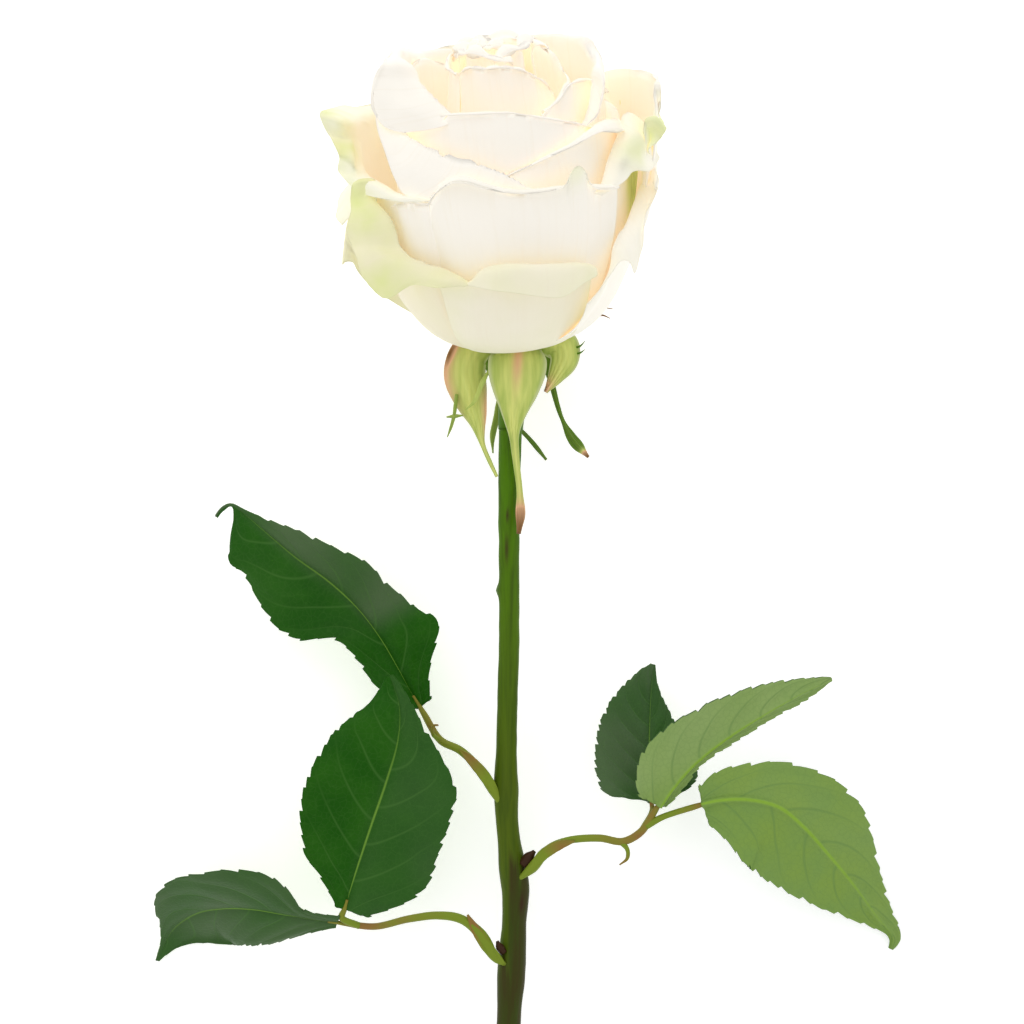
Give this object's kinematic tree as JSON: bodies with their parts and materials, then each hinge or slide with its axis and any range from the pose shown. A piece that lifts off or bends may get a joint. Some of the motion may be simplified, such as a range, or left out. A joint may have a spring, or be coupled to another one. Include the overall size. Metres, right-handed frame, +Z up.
{
  "type": "cut rose",
  "caption": "Cut garden-type rose lying on its back: a full layered bloom on hip and sepals, a long stem with toothed leaflets on slender stalks.",
  "frame": {"origin": "centre of the bounding box in plan, at the level of the surface that the flower lies on", "axes": "+Y from the cut end of the stem to the bloom, +Z up from the surface, towards the bloom's front, +X to the right with the bloom at the top"},
  "size_m": [0.1789, 0.3998, 0.0719],
  "materials": {
    "petal": "satin",
    "hip_and_sepal": "satin",
    "stem": "satin",
    "leaf_stalk": "satin",
    "leaf_blade": "satin"
  },
  "bodies": {
    "root": {"bloom": "petal", "calyx": "hip_and_sepal", "stem": "stem", "low_left_leaf_stalk": "leaf_stalk", "top_left_leaf_stalk": "leaf_stalk", "right_leaf_stalk": "leaf_stalk", "low_left_side_leaflet": "leaf_blade", "low_left_top_leaflet": "leaf_blade", "top_left_leaflet": "leaf_blade", "right_back_leaflet": "leaf_blade", "right_middle_leaflet": "leaf_blade", "right_end_leaflet": "leaf_blade"}
  },
  "joints": []
}
